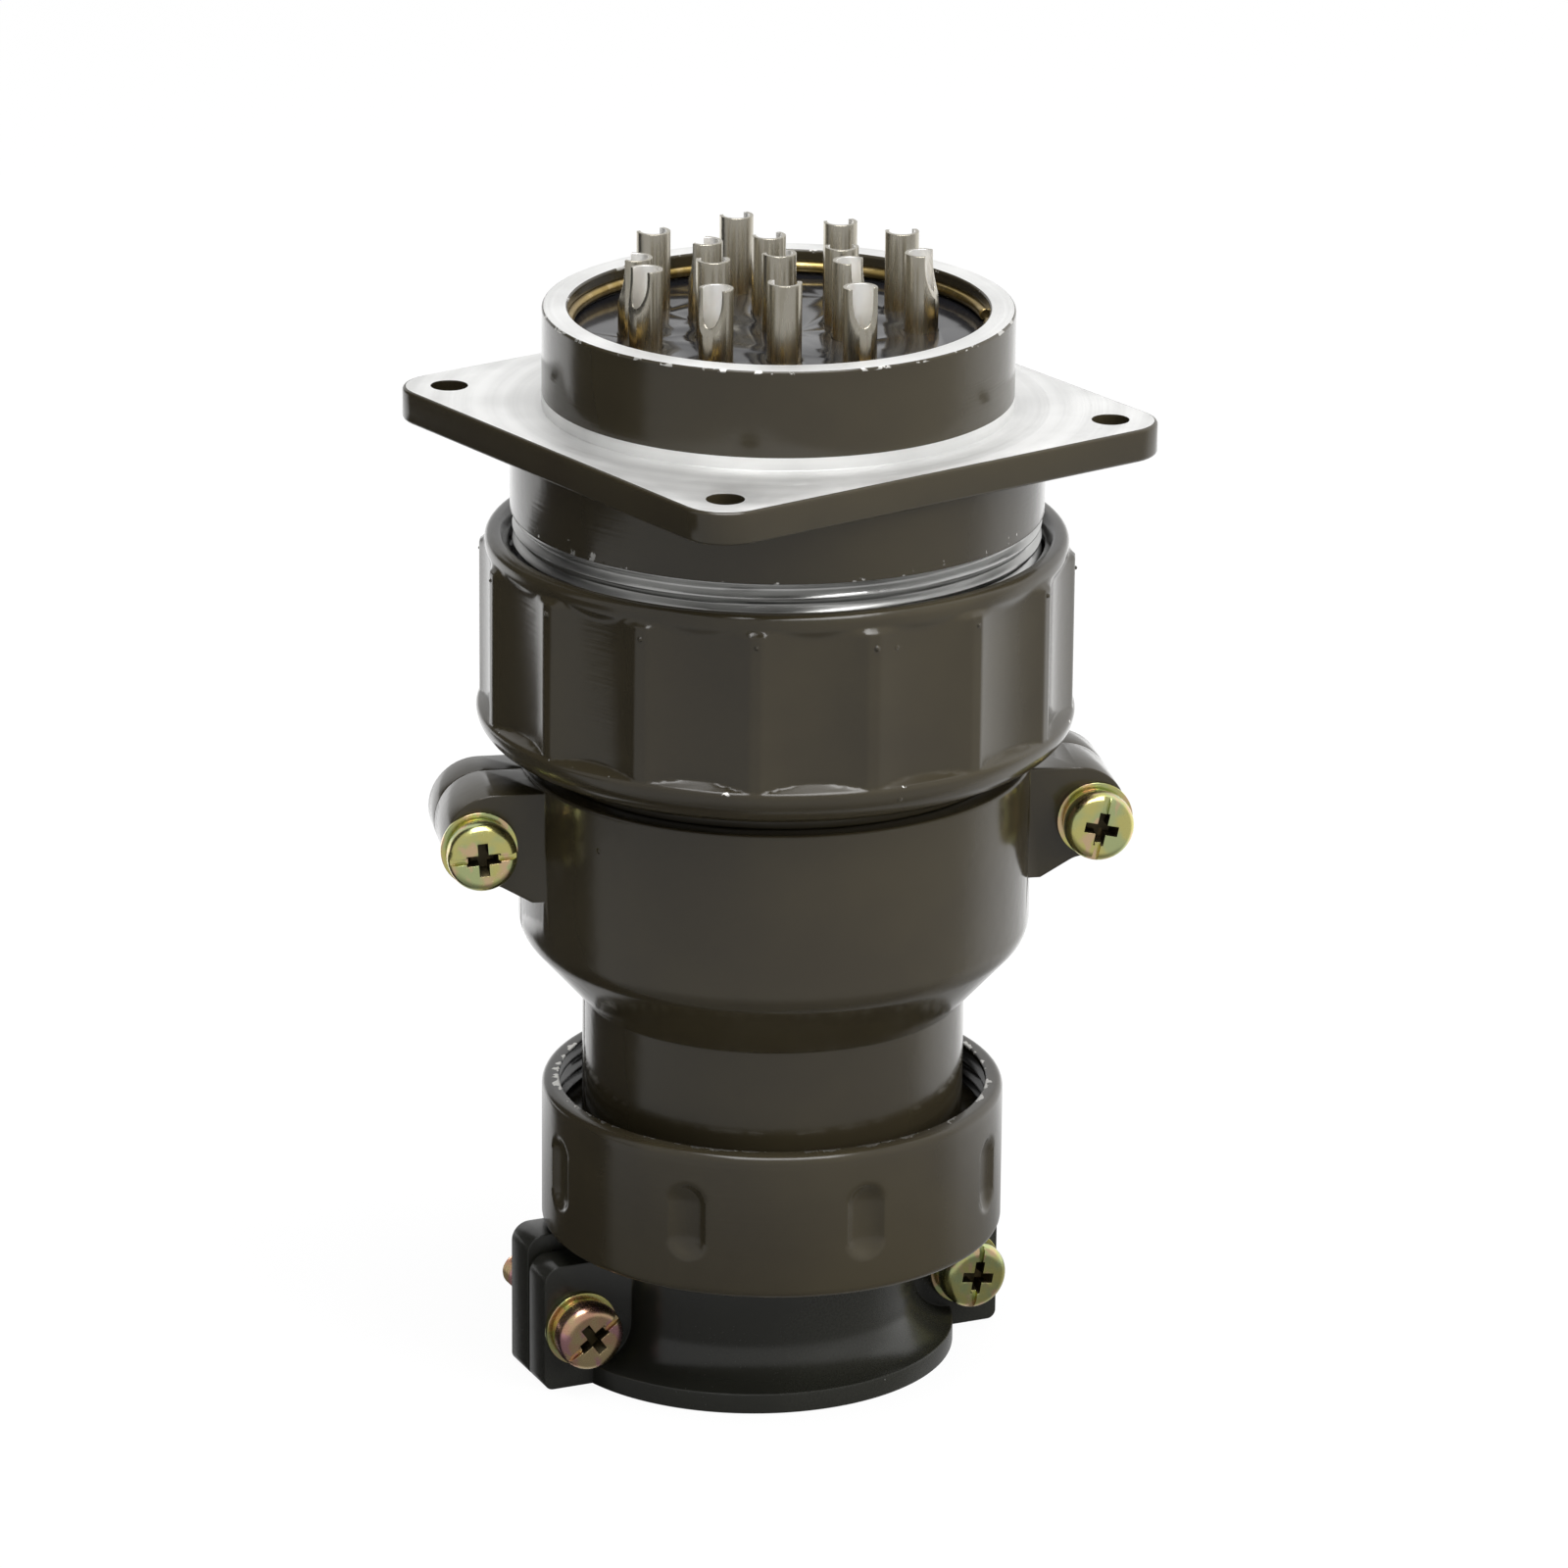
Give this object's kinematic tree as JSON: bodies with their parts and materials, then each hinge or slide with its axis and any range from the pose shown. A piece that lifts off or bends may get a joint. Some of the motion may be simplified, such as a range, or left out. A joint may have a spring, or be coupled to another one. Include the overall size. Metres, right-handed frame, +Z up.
{
  "type": "circular connector",
  "caption": "Mated circular power connector: square-flange panel receptacle with solder cups, coupling nut, split straight plug housing, union nut and screw cable clamp.",
  "frame": {"origin": "on the connector's axis at the lower face of the cable clamp, which it stands on", "axes": "+Z up the axis towards the receptacle's solder cups; -Y the way the housing screws face; +X towards the housing's right ear"},
  "size_m": [0.0616, 0.0616, 0.0999],
  "materials": {
    "olive_paint": "gloss olive-brown stoved paint on aluminium alloy",
    "silver_plate": "silver-plated brass",
    "black_insulator": "glossy moulded thermoset",
    "brass_wire": "drawn wire",
    "yellow_zinc": "zinc plated, yellow passivated"
  },
  "bodies": {
    "cable_clamp": {"clamp_body": "olive_paint"},
    "clamp_saddle": {"clamp_saddle": "olive_paint", "clamp_flat_washer_left": "yellow_zinc", "clamp_flat_washer_right": "yellow_zinc", "clamp_spring_washer_left": "yellow_zinc", "clamp_spring_washer_right": "yellow_zinc"},
    "clamp_screw_left": {"clamp_screw_left": "yellow_zinc"},
    "clamp_screw_right": {"clamp_screw_right": "yellow_zinc"},
    "union_nut": {"union_nut": "olive_paint"},
    "plug": {"housing_half_front": "olive_paint", "housing_half_rear": "olive_paint", "housing_screw_left": "yellow_zinc", "housing_screw_right": "yellow_zinc", "housing_flat_washer_left": "yellow_zinc", "housing_flat_washer_right": "yellow_zinc", "housing_spring_washer_left": "yellow_zinc", "housing_spring_washer_right": "yellow_zinc", "plug_barrel": "olive_paint", "plug_insulator_front": "black_insulator", "plug_insulator_rear": "black_insulator", "plug_retaining_ring": "brass_wire", "socket_contact_01": "silver_plate", "socket_contact_02": "silver_plate", "socket_contact_03": "silver_plate", "socket_contact_04": "silver_plate", "socket_contact_05": "silver_plate", "socket_contact_06": "silver_plate", "socket_contact_07": "silver_plate", "socket_contact_08": "silver_plate", "socket_contact_09": "silver_plate", "socket_contact_10": "silver_plate", "socket_contact_11": "silver_plate", "socket_contact_12": "silver_plate", "socket_contact_13": "silver_plate", "socket_contact_14": "silver_plate", "socket_contact_15": "silver_plate", "socket_contact_16": "silver_plate"},
    "coupling_nut": {"coupling_nut": "olive_paint"},
    "receptacle": {"receptacle_shell": "olive_paint", "receptacle_insulator_front": "black_insulator", "receptacle_insulator_rear": "black_insulator", "receptacle_retaining_ring": "brass_wire", "pin_contact_01": "silver_plate", "pin_contact_02": "silver_plate", "pin_contact_03": "silver_plate", "pin_contact_04": "silver_plate", "pin_contact_05": "silver_plate", "pin_contact_06": "silver_plate", "pin_contact_07": "silver_plate", "pin_contact_08": "silver_plate", "pin_contact_09": "silver_plate", "pin_contact_10": "silver_plate", "pin_contact_11": "silver_plate", "pin_contact_12": "silver_plate", "pin_contact_13": "silver_plate", "pin_contact_14": "silver_plate", "pin_contact_15": "silver_plate", "pin_contact_16": "silver_plate"}
  },
  "joints": [
    {"name": "clamp_screw_left_turn", "type": "hinge", "parent": "clamp_saddle", "child": "clamp_screw_left", "pos_m": [-0.01776, -0.00443, 0.0055], "axis": [0.2419, -0.9703, 0], "range_deg": [0, 3026]},
    {"name": "clamp_screw_right_turn", "type": "hinge", "parent": "clamp_saddle", "child": "clamp_screw_right", "pos_m": [0.01776, 0.00443, 0.0055], "axis": [0.2419, -0.9703, 0], "range_deg": [0, 3026]},
    {"name": "saddle_slide", "type": "slide", "parent": "cable_clamp", "child": "clamp_saddle", "axis": [0.2419, -0.9703, 0], "range_m": [0, 0.0042]},
    {"name": "union_nut_turn", "type": "hinge", "parent": "cable_clamp", "child": "union_nut", "pos_m": [0, 0, 0.0196], "axis": [0, 0, -1], "range_deg": [0, 1801]},
    {"name": "plug_lift", "type": "slide", "parent": "cable_clamp", "child": "plug", "axis": [0, 0, 1], "range_m": [0, 0.00625]},
    {"name": "coupling_nut_turn", "type": "hinge", "parent": "plug", "child": "coupling_nut", "pos_m": [0, 0, 0.066], "axis": [0, 0, -1], "range_deg": [0, 2521]},
    {"name": "receptacle_lift", "type": "slide", "parent": "plug", "child": "receptacle", "axis": [0, 0, 1], "range_m": [0, 0.00875]}
  ],
  "couplings": [
    {"joint": "clamp_screw_left_turn", "follows": "saddle_slide", "rad_per_m": 12566},
    {"joint": "clamp_screw_right_turn", "follows": "saddle_slide", "rad_per_m": 12566},
    {"joint": "union_nut_turn", "follows": "plug_lift", "rad_per_m": 5026.5},
    {"joint": "coupling_nut_turn", "follows": "receptacle_lift", "rad_per_m": 5026.5}
  ]
}
